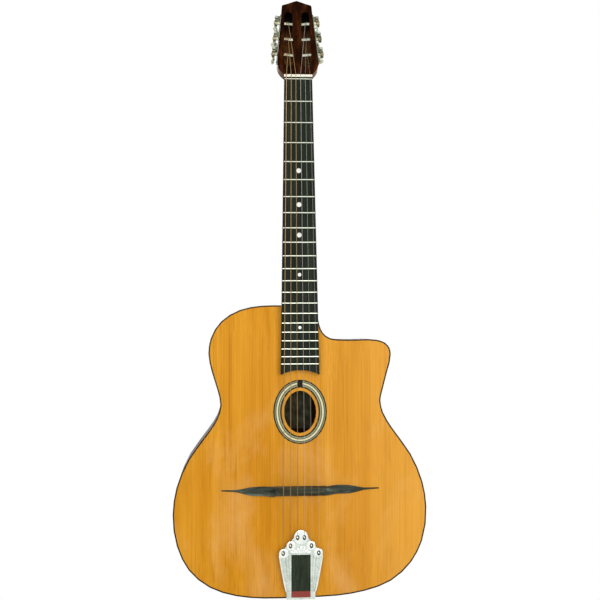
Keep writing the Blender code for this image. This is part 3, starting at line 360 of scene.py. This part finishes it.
def make_rosette_paint():
    """Oval rings, dark, grey-green and cream, with a dark mark across their top."""
    paint = Paint("rosette", 0.32, specular=WOOD_SPECULAR)
    x, _, z = paint.axes()
    across = paint.math("SUBTRACT", x, SOUND_HOLE.x)
    up = paint.math("SUBTRACT", z, SOUND_HOLE.z)
    half_x, half_z = ROSETTE_MIDDLE
    oval = paint.length(paint.math("DIVIDE", across, half_x), paint.math("DIVIDE", up, half_z))
    radius = paint.length(across, up)
    off = paint.math("MULTIPLY", paint.math("SUBTRACT", oval, 1.0), paint.math("DIVIDE", radius, oval))
    dark, grey = (0.020, 0.016, 0.008), (0.27, 0.28, 0.17)
    pale, cream = (0.42, 0.42, 0.25), (0.78, 0.76, 0.50)
    rings = paint.ramp(paint.range(off, -ROSETTE_HALF, ROSETTE_HALF, 0.0, 1.0),
                       [(0.0, dark), (0.15, grey), (0.25, pale), (0.31, dark), (0.38, pale), (0.45, cream),
                        (0.59, pale), (0.65, dark), (0.72, grey), (0.84, dark)])
    rings.node.color_ramp.interpolation = "CONSTANT"
    fibres = paint.noise(600, detail=3)
    colour = paint.shaded(rings, fibres, [(0.3, (0.82, 0.80, 0.75)), (0.65, (1, 1, 1))])
    mark = paint.both(paint.math("LESS_THAN", paint.math("ABSOLUTE", across), MARK_HALF),
                      paint.math("GREATER_THAN", up, 0.0))
    paint.colour(paint.mix(mark, colour, (0.012, 0.009, 0.006)))
    return paint.bump(fibres, 0.06, 0.0002)


def make_nickel(name, pale, dull, roughness, engraved=0.0):
    """Old plating: dull patches, fine scratches and, where engraved, a chased pattern."""
    paint = Paint(name, roughness, metallic=1.0)
    patches = paint.noise(70, detail=5, roughness=0.6)
    scratches = paint.noise(500, paint.stretched((1, 1, 0.2)), detail=3)
    paint.colour(paint.ramp(patches, [(0.32, dull), (0.62, pale)]))
    paint.rough(paint.range(patches, 0.3, 0.7, roughness + 0.14, roughness - 0.05))
    if engraved:
        chased = paint.wave(80, "DIAGONAL", 6.0, paint.stretched((1, 0.3, 1)), detail_scale=2.2)
        height = paint.math("ADD", paint.math("MULTIPLY", chased, 0.8), paint.math("MULTIPLY", scratches, 0.2))
        return paint.bump(height, engraved, 0.0006)
    return paint.bump(scratches, 0.08, 0.0001)


def make_string_paint(name, shade, bright):
    """Wire whose turns are too fine to see apart; their sheen is painted into the colour as light and dark
    bands.
    """
    paint = Paint(name, 0.30, metallic=1.0)
    sheen_bands = paint.wave(420, "Z", 0.0)
    # Light and dark bands along the wire: painted sheen.
    paint.colour(paint.ramp(sheen_bands, [(0.0, shade), (0.6, bright)]))
    return paint.bump(sheen_bands, 0.2, 0.0001)


def plain(name, low, high, roughness, scale=120, coat=0.0, bump=0.1, specular=0.3):
    """An even surface with a soft mottle in its colour and gloss."""
    paint = Paint(name, roughness, coat=coat, specular=specular)
    mottle = paint.noise(scale, detail=4)
    paint.colour(paint.ramp(mottle, [(0.3, low), (0.7, high)]))
    paint.rough(paint.range(mottle, 0.3, 0.7, roughness + 0.06, roughness - 0.04))
    return paint.bump(mottle, bump, 0.0003)


# Finishes. A wood is given by its dark, middle and pale colour, grain, roughness, stretch and streak.

SPRUCE = make_spruce()
ROSEWOOD = grained_wood("rosewood", [(0.018, 0.006, 0.003), (0.060, 0.019, 0.007), (0.110, 0.038, 0.015)],
                        110, 0.28, (1, 1, 0.035), 0.7, DARK_WOOD_SPECULAR)
HEAD_WOOD = grained_wood("head_veneer",
                         [(0.002, 0.0007, 0.0003), (0.021, 0.0048, 0.0010), (0.090, 0.024, 0.005)],
                         90, 0.20, (1, 1, 0.05), 0.8, DARK_WOOD_SPECULAR)
NECK_WOOD = make_neck_paint()
INNER_WOOD = grained_wood("inner_wood", [(0.42, 0.26, 0.12), (0.56, 0.37, 0.19), (0.66, 0.46, 0.25)],
                          160, 0.7, (0.05, 1, 1), 0.6)
BRIDGE_WOOD = grained_wood("bridge_wood", [(0.006, 0.008, 0.005), (0.046, 0.060, 0.044), (0.150, 0.190, 0.150)],
                           150, 0.34, (0.05, 1, 1), 0.7)
WING_WOOD = grained_wood("wing_wood", [(0.005, 0.006, 0.004), (0.052, 0.066, 0.050), (0.190, 0.240, 0.200)],
                         100, 0.30, (0.18, 1, 1), 0.7)
INSERT_WOOD = grained_wood("insert_wood", [(0.013, 0.017, 0.010), (0.026, 0.036, 0.023), (0.045, 0.056, 0.037)],
                           200, 0.35, (1, 1, 0.05), 0.6)
FRETBOARD = make_fretboard_paint()
ROSETTE = make_rosette_paint()
BINDING = plain("binding", (0.014, 0.008, 0.004), (0.034, 0.020, 0.010), 0.30, specular=0.12)
PEARL = plain("pearl", (0.70, 0.72, 0.66), (0.88, 0.88, 0.82), 0.22, 350, coat=0.5)
BONE = plain("bone", (0.78, 0.74, 0.58), (0.90, 0.88, 0.74), 0.40, 300)
TAILPIECE = make_nickel("tailpiece_nickel", (0.76, 0.82, 0.75), (0.50, 0.57, 0.49), 0.22, engraved=0.35)
# A lighter copy of the tailpiece's nickel for its raised lobes, beads, petals and caps: painted highlight.
HIGHLIT_NICKEL = make_nickel("nickel_painted_highlight", (0.94, 0.98, 0.93), (0.78, 0.84, 0.77), 0.16)
TARNISH = make_nickel("tarnished_lines", (0.34, 0.38, 0.33), (0.16, 0.19, 0.15), 0.40)
# Near-black mounds round the tailpiece's studs: painted shadow.
PAINTED_SHADOW = plain("painted_stud_shadow", (0.010, 0.016, 0.012), (0.035, 0.045, 0.036), 0.5, 300, specular=0.1)
TUNER = make_nickel("tuner_nickel", (0.70, 0.72, 0.60), (0.28, 0.30, 0.21), 0.24)
# The tuner plates: the same nickel as the rollers, painted much darker as painted reflection of dark
# surroundings.
PLATE_PAINTED_DARK = make_nickel("plate_nickel_painted_dark", (0.24, 0.27, 0.18), (0.05, 0.06, 0.035), 0.26)
GEAR = make_nickel("gear_metal", (0.42, 0.38, 0.24), (0.14, 0.12, 0.07), 0.30)
WOUND = make_string_paint("wound_string", (0.16, 0.095, 0.045), (0.46, 0.29, 0.13))
STEEL = make_string_paint("steel_string", (0.27, 0.25, 0.21), (0.42, 0.39, 0.34))
FELT = plain("red_felt", (0.20, 0.040, 0.034), (0.36, 0.078, 0.066), 0.95, 900, bump=0.8, specular=0.05)
PAPER = plain("label_paper", (0.075, 0.070, 0.036), (0.180, 0.170, 0.095), 0.85, 90)

# By a node's name, or by its name without the last word; every other node is inside the body
FINISHES = {
    "soundboard": SPRUCE, "rosette": ROSETTE, "headstock_veneer": HEAD_WOOD, "neck": NECK_WOOD,
    "back": ROSEWOOD, "rib": ROSEWOOD, "fretboard": FRETBOARD, "nut": BONE, "binding": BINDING,
    "bridge": BRIDGE_WOOD, "moustache": BRIDGE_WOOD, "tailpiece_frame": TAILPIECE,
    "tailpiece_insert": INSERT_WOOD, "tailpiece_felt": FELT, "end_pin": TUNER, "tuner_plate": PLATE_PAINTED_DARK,
    "roller": TUNER, "worm": TUNER, "gear": GEAR, "string": WOUND, "string_1": STEEL, "string_2": STEEL,
    "string_3": STEEL, "dot": PEARL,
}
NODE_SMOOTHING = math.radians(32)
PIECE_SMOOTHING = math.radians(35)


def finish_of(name):
    for start in (name, name.rsplit("_", 1)[0]):
        if start in FINISHES:
            return FINISHES[start]
    return INNER_WOOD


for name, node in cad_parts.items():
    node.data.materials.clear()
    node.data.materials.append(finish_of(name))
    node.data.shade_smooth()
    node.data.set_sharp_from_angle(angle=NODE_SMOOTHING)


# Pieces that the frame leaves out

def new_piece(name, bm, material):
    """A piece that rides the guitar's body."""
    mesh = bpy.data.meshes.new(name)
    bm.to_mesh(mesh)
    bm.free()
    piece = bpy.data.objects.new(name, mesh)
    bpy.context.scene.collection.objects.link(piece)
    mesh.materials.append(material)
    mesh.shade_smooth()
    mesh.set_sharp_from_angle(angle=PIECE_SMOOTHING)
    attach(piece, "guitar")
    return piece


def skin(bm, rings):
    """A closed skin through rings of points, with a flat face at each end."""
    made = [[bm.verts.new(point) for point in ring] for ring in rings]
    for low, high in zip(made, made[1:]):
        for i in range(len(low)):
            j = (i + 1) % len(low)
            bm.faces.new((low[i], low[j], high[j], high[i]))
    bm.faces.new(made[-1])
    bm.faces.new(made[0][::-1])


def round_angles(count):
    return [2 * math.pi * i / count for i in range(count)]


def surface_behind(name, x, y, z):
    """The place where a ray from (x, y, z) towards the back meets a node."""
    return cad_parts[name].ray_cast(Vector((x, y, z)), Vector((0, 1, 0)))[1]


def add_screw(bm, place, outward):
    """A domed screw head."""
    head = Matrix.Translation(place) @ outward.to_track_quat("Z", "Y").to_matrix().to_4x4()
    skin(bm, [[head @ Vector((SCREW_RADIUS * out * math.cos(a), SCREW_RADIUS * out * math.sin(a),
                              SCREW_RADIUS * up)) for a in round_angles(16)]
              for out, up in ((1.0, 0.0), (1.0, 0.18), (0.82, 0.40), (0.45, 0.55))])


def make_plate_screws():
    rise, narrowing = HEAD_TOP[0] - HEAD_SHOULDER[0], HEAD_TOP[1] - HEAD_SHOULDER[1]
    half = HEAD_SHOULDER[1] + narrowing * (PLATE_MIDDLE - HEAD_SHOULDER[0]) / rise
    for side, label in ((-1, "bass"), (1, "treble")):
        side_frame = (HEAD_FRAME @ Matrix.Translation((side * half, 0, PLATE_MIDDLE))
                      @ Matrix.Rotation(-side * SIDE_LEAN, 4, "Y"))
        outward = (side_frame.to_3x3() @ Vector((side, 0, 0))).normalized()
        bm = bmesh.new()
        for height in SCREW_HEIGHTS:
            add_screw(bm, side_frame @ Vector((side * PLATE_OUT, SCREW_DEPTH, height)), outward)
        new_piece("plate_screws_" + label, bm, GEAR)


def make_label():
    """A plain paper label on the inside of the back, seen through the sound hole."""
    bm = bmesh.new()
    bmesh.ops.create_grid(bm, x_segments=8, y_segments=10, size=1.0)
    for vertex in bm.verts:
        x, z = (LABEL_MIDDLE[axis] + vertex.co[axis] * LABEL_HALF[axis] for axis in (0, 1))
        vertex.co = surface_behind("back", x, INSIDE_Y, z)
        vertex.co.y -= LABEL_LIFT
    new_piece("label", bm, PAPER)


# Relief of the tailpiece, by x and the height over the tail

TAIL_FACE_Y = -0.0190                       # the sloping face's front at its foot
TAIL_FOOT = -0.0027
TAIL_SLOPE = 0.010 / 0.1137
CROWN_LOBES = [(0.0, 0.1002, 0.0114), (0.0163, 0.0862, 0.0072), (0.0281, 0.0737, 0.0075)]    # with the radius
LOBE_HEIGHT = 0.0007
STUDS = [(0.0055, 0.1002), (0.0170, 0.0867), (0.0289, 0.0747)]
STUD_SHADOW = (0.0031, 0.0044, 0.00125)            # painted shadow round each stud: half width, half length and height
STUD_SHADOW_DROP = 0.0006
CAP = (0.0011, 0.0017, 0.0032)
CAP_SHIFT = (-0.0006, 0.0002)
ARM_EDGE = [(0.0352, 0.0700), (0.0330, 0.0560), (0.0302, 0.0400), (0.0272, 0.0240), (0.0240, 0.0110)]
EDGE_RADIUS = 0.0009
ARM_LINES = (0.22, 0.50, 0.74)              # places between the window's edge and the arm's
LINE_RADIUS = 0.00042
WINDOW_EDGE = 0.0157
PETALS = [(0.0, 0.0785, 90, 0.0125, 0.0021), (0.0042, 0.0780, 66, 0.0112, 0.0018),
          (0.0085, 0.0768, 40, 0.0098, 0.0016), (0.0130, 0.0752, 12, 0.0080, 0.0014)]     # angle, length, half
PETAL_HEIGHT = 0.0011
MOUND_PROFILE = [(1.0, -0.2), (1.0, 0.35), (0.90, 0.75), (0.70, 0.94), (0.40, 1.0)]       # size, height
BEAD_ANGLES = [math.radians(angle) for angle in (205, 150, 115, 90, 65, 30, -25)]


def tail_point(x, z, proud):
    """A point on the tailpiece's sloping face; z is over the tail, as in the CAD."""
    return Vector((x, TAIL_FACE_Y - (z - TAIL_FOOT) * TAIL_SLOPE - proud, z + GUITAR_Z))


def add_mound(bm, x, z, half_x, half_z, height, turn=0.0, steps=20):
    """A low dome with a rounded edge on the tailpiece."""
    rings = []
    for size, up in MOUND_PROFILE:
        ring = []
        for a in round_angles(steps):
            dx, dz = size * half_x * math.cos(a), size * half_z * math.sin(a)
            ring.append(tail_point(x + dx * math.cos(turn) - dz * math.sin(turn),
                                   z + dx * math.sin(turn) + dz * math.cos(turn), up * height))
        rings.append(ring)
    skin(bm, rings)


def add_bead(bm, path, radius):
    """A half-round bead along a path of (x, z) on the tailpiece."""
    rings = []
    for i, (x, z) in enumerate(path):
        before, after = path[max(i - 1, 0)], path[min(i + 1, len(path) - 1)]
        dx, dz = after[0] - before[0], after[1] - before[1]
        length = math.hypot(dx, dz)
        rings.append([tail_point(x - dz / length * radius * math.cos(a), z + dx / length * radius * math.cos(a),
                                 radius * math.sin(a)) for a in BEAD_ANGLES])
    skin(bm, rings)


def add_lobes(bm, side):
    for x, z, radius in CROWN_LOBES:
        if x or side > 0:
            add_mound(bm, side * x, z, radius, radius, LOBE_HEIGHT)


def add_ornament(bm, side):
    """The bead along an arm's edge and the petals under the crown; the middle petal comes once."""
    add_bead(bm, [(side * x, z) for x, z in ARM_EDGE], EDGE_RADIUS)
    for x, z, angle, length, half in PETALS:
        if x or side < 0:
            turn = math.radians(angle if side > 0 else 180 - angle)
            add_mound(bm, side * x, z, length / 2, half, PETAL_HEIGHT, turn, 14)


def add_arm_lines(bm, side):
    for share in ARM_LINES:
        add_bead(bm, [(side * (WINDOW_EDGE + share * (x - WINDOW_EDGE)), z) for x, z in ARM_EDGE], LINE_RADIUS)


# Dark mounds round the studs: painted shadow.
def add_stud_shadows(bm, side):
    for x, z in STUDS:
        add_mound(bm, side * x, z - STUD_SHADOW_DROP, *STUD_SHADOW, 0.0, 16)


def add_caps(bm, side):
    for x, z in STUDS:
        add_mound(bm, side * x + CAP_SHIFT[0], z + CAP_SHIFT[1], *CAP, 0.0, 14)


# Raised relief in the lighter nickel is painted highlight; the dark mounds round the studs are painted shadow.
def make_tailpiece_relief():
    for name, add, material in (("tailpiece_lobes", add_lobes, HIGHLIT_NICKEL),
                                ("tailpiece_ornament", add_ornament, HIGHLIT_NICKEL),
                                ("arm_lines", add_arm_lines, TARNISH),
                                ("stud_shadows", add_stud_shadows, PAINTED_SHADOW), ("stud_caps", add_caps, HIGHLIT_NICKEL)):
        bm = bmesh.new()
        for side in (-1, 1):
            add(bm, side)
        new_piece(name, bm, material)


# Carved bridge and wings, which replace the CAD's plainer ones

BRIDGE_Z = 0.1779 + GUITAR_Z
BRIDGE_HALF = 0.0417
BRIDGE_CREST_Y = -0.0237 + GUITAR_Y - 0.0002
BRIDGE_END_DROP = 0.0085                    # how far the crest falls at the bridge's ends
BRIDGE_STEPS = 16
BRIDGE_FOOT = (-0.0122, 0.0040)             # lower and upper edge of the foot, from the crest
CREST_HALF = 0.0014
FOOT_SINK = 0.0002
WAVE, WAVE_TURNS = 0.0004, 260              # unevenness of the bridge's lower face, in radians per metre
WING_MIDDLE = -0.0042
WING_ROOT, WING_LENGTH = 0.04, 0.09
# Stations: distance out, extent up and down the board, height, ridge's place from -1 to 1, lift up the board
WINGS = {
    "bass": [(0.0418, 0.0082, 0.0080, 0.0098, -0.85, -0.0006), (0.0470, 0.0082, 0.0084, 0.0088, -0.60, -0.0004),
             (0.0530, 0.0080, 0.0078, 0.0080, -0.10, -0.0002), (0.0590, 0.0080, 0.0072, 0.0074, 0.45, 0.0),
             (0.0650, 0.0078, 0.0074, 0.0066, 0.80, 0.0), (0.0740, 0.0074, 0.0074, 0.0058, 0.30, 0.0),
             (0.0840, 0.0062, 0.0064, 0.0050, -0.10, 0.0), (0.0930, 0.0040, 0.0042, 0.0042, -0.15, 0.0002),
             (0.1010, 0.0023, 0.0022, 0.0036, 0.0, 0.0004), (0.1100, 0.0015, 0.0014, 0.0030, 0.0, 0.0006),
             (0.1285, 0.0010, 0.0010, 0.0024, 0.0, 0.0008)],
    "treble": [(0.0418, 0.0064, 0.0076, 0.0098, 0.35, 0.0004), (0.0480, 0.0070, 0.0074, 0.0090, -0.15, 0.0008),
               (0.0550, 0.0076, 0.0066, 0.0080, -0.55, 0.0012), (0.0620, 0.0078, 0.0062, 0.0070, -0.70, 0.0014),
               (0.0700, 0.0076, 0.0064, 0.0062, -0.45, 0.0014), (0.0790, 0.0070, 0.0064, 0.0055, -0.15, 0.0014),
               (0.0880, 0.0055, 0.0052, 0.0047, 0.10, 0.0014), (0.0960, 0.0034, 0.0034, 0.0040, 0.10, 0.0016),
               (0.1040, 0.0019, 0.0019, 0.0034, 0.0, 0.0018), (0.1140, 0.0013, 0.0013, 0.0028, 0.0, 0.0020),
               (0.1285, 0.0010, 0.0010, 0.0024, 0.0, 0.0022)],
}
FRONT_Y = -0.2                              # well in front of the soundboard


def foot_of(x, z):
    """Just behind the soundboard's front at a place, where a foot stands."""
    return surface_behind("soundboard", x, FRONT_Y, z).y + FOOT_SINK


def make_carved(name, rings, material, node):
    bm = bmesh.new()
    skin(bm, rings)
    bmesh.ops.recalc_face_normals(bm, faces=bm.faces)
    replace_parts(new_piece(name, bm, material), node)


def make_carved_bridge():
    rings = []
    low, high = BRIDGE_FOOT
    for i in range(BRIDGE_STEPS + 1):
        x = BRIDGE_HALF * (2 * i / BRIDGE_STEPS - 1)
        foot = foot_of(x, BRIDGE_Z - 0.003)
        height = foot - (BRIDGE_CREST_Y + BRIDGE_END_DROP * abs(x / BRIDGE_HALF) ** 6)
        wavy = WAVE * math.sin(x * WAVE_TURNS)
        profile = [(low, 0.0), (high, 0.0), (high - 0.0002, 0.26), (high * 0.60, 0.52), (0.0020, 0.88),
                   (CREST_HALF, 1.0), (-CREST_HALF, 1.0), (-0.0022, 0.88), (low * 0.52 + wavy, 0.56),
                   (low * 0.93 + wavy, 0.27)]
        rings.append([(x, foot - height * up, BRIDGE_Z + out) for out, up in profile])
    make_carved("carved_bridge", rings, BRIDGE_WOOD, "bridge")


def make_carved_wings():
    for side, label in ((-1, "bass"), (1, "treble")):
        rings = []
        for out, up, down, height, ridge, lift in WINGS[label]:
            x = side * out
            middle = BRIDGE_Z + WING_MIDDLE * (1 - 0.25 * (out - WING_ROOT) / WING_LENGTH) + lift
            foot = foot_of(x, middle)
            half = (up + down) / 2
            centre = middle + (up - down) / 2
            peak = ridge * 0.55
            rings.append([(x, foot - height * tall, centre + half * across)
                          for across, tall in ((-1.0, 0.0), (-1.0, 0.38), (peak - 0.34, 0.74), (peak, 1.0),
                                               (peak + 0.30, 0.72), (1.0, 0.34), (1.0, 0.0))])
        make_carved("carved_wing_" + label, rings, WING_WOOD, "moustache_" + label)


make_plate_screws()
make_label()
make_tailpiece_relief()
make_carved_bridge()
make_carved_wings()


# Soft edges on the metal, the nut and the headstock's face

SOFT_NODES = ("tuner_plate", "worm", "gear", "roller", "tailpiece_frame", "nut", "headstock")
SOFT_EDGE = 0.00022
SOFT_ANGLE = math.radians(40)

for name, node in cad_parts.items():
    if name.startswith(SOFT_NODES):
        softened = node.modifiers.new("Softened edges", "BEVEL")
        softened.width = SOFT_EDGE
        softened.segments = 2
        softened.limit_method = "ANGLE"
        softened.angle_limit = SOFT_ANGLE


# Stage and light

WORLD_STRENGTH = 0.48
LIGHTS = [                                  # name, place, target, size, power
    ("key", (-1.3, -2.2, 0.9), (0, 0, -0.45), 1.6, 17),
    ("fill", (1.7, -1.9, 0.0), (0, 0, -0.55), 1.6, 31),
    ("low", (0.2, -1.8, -1.6), (0, 0, -0.6), 1.2, 8),
    ("front", (-0.05, -2.6, -0.40), (0, 0, -0.55), 0.7, 9),
    ("rear", (0.0, 2.2, 0.8), (0, 0, -0.4), 1.8, 30),
]


def show_white(tree, shader, output):
    """Plain white for rays that show the backdrop itself: from the camera, off gloss and through glass."""
    path = tree.nodes.new("ShaderNodeLightPath")
    rays = path.outputs["Is Camera Ray"]
    for kind in ("Is Glossy Ray", "Is Transmission Ray"):
        either = tree.nodes.new("ShaderNodeMath")
        either.operation = "MAXIMUM"
        tree.links.new(rays, either.inputs[0])
        tree.links.new(path.outputs[kind], either.inputs[1])
        rays = either.outputs[0]
    white = tree.nodes.new("ShaderNodeEmission" if output == "Material Output" else "ShaderNodeBackground")
    white.inputs["Color"].default_value = (1, 1, 1, 1)
    white.inputs["Strength"].default_value = 1.0
    mix = tree.nodes.new("ShaderNodeMixShader")
    tree.links.new(rays, mix.inputs[0])
    tree.links.new(shader.outputs[0], mix.inputs[1])
    tree.links.new(white.outputs[0], mix.inputs[2])
    tree.links.new(mix.outputs[0], tree.nodes[output].inputs["Surface"])


def make_stage():
    """A white floor and backdrop."""
    bm = bmesh.new()
    bmesh.ops.create_grid(bm, x_segments=1, y_segments=1, size=6.0)
    mesh = bpy.data.meshes.new("floor")
    bm.to_mesh(mesh)
    bm.free()
    floor = bpy.data.objects.new("floor", mesh)
    floor.location = (0, 0, FLOOR_Z)
    bpy.context.scene.collection.objects.link(floor)
    material = bpy.data.materials.new("floor_white")
    material.use_nodes = True
    shader = material.node_tree.nodes["Principled BSDF"]
    shader.inputs["Base Color"].default_value = (0.80, 0.80, 0.80, 1)
    shader.inputs["Roughness"].default_value = 0.9
    show_white(material.node_tree, shader, "Material Output")
    mesh.materials.append(material)
    floor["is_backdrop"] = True

    world = bpy.data.worlds.new("studio")
    world.use_nodes = True
    bpy.context.scene.world = world
    soft = world.node_tree.nodes["Background"]
    soft.inputs["Color"].default_value = (1, 1, 1, 1)
    soft.inputs["Strength"].default_value = WORLD_STRENGTH
    show_white(world.node_tree, soft, "World Output")


def add_light(name, place, target, size, power):
    data = bpy.data.lights.new(name, "AREA")
    data.energy = power
    data.size = size
    light = bpy.data.objects.new(name, data)
    light.location = place
    light.rotation_euler = (Vector(target) - Vector(place)).to_track_quat("-Z", "Y").to_euler()
    bpy.context.scene.collection.objects.link(light)


make_stage()
for settings in LIGHTS:
    add_light(*settings)

bpy.context.scene.view_settings.view_transform = "Standard"
write_size("drawn", SIZES)
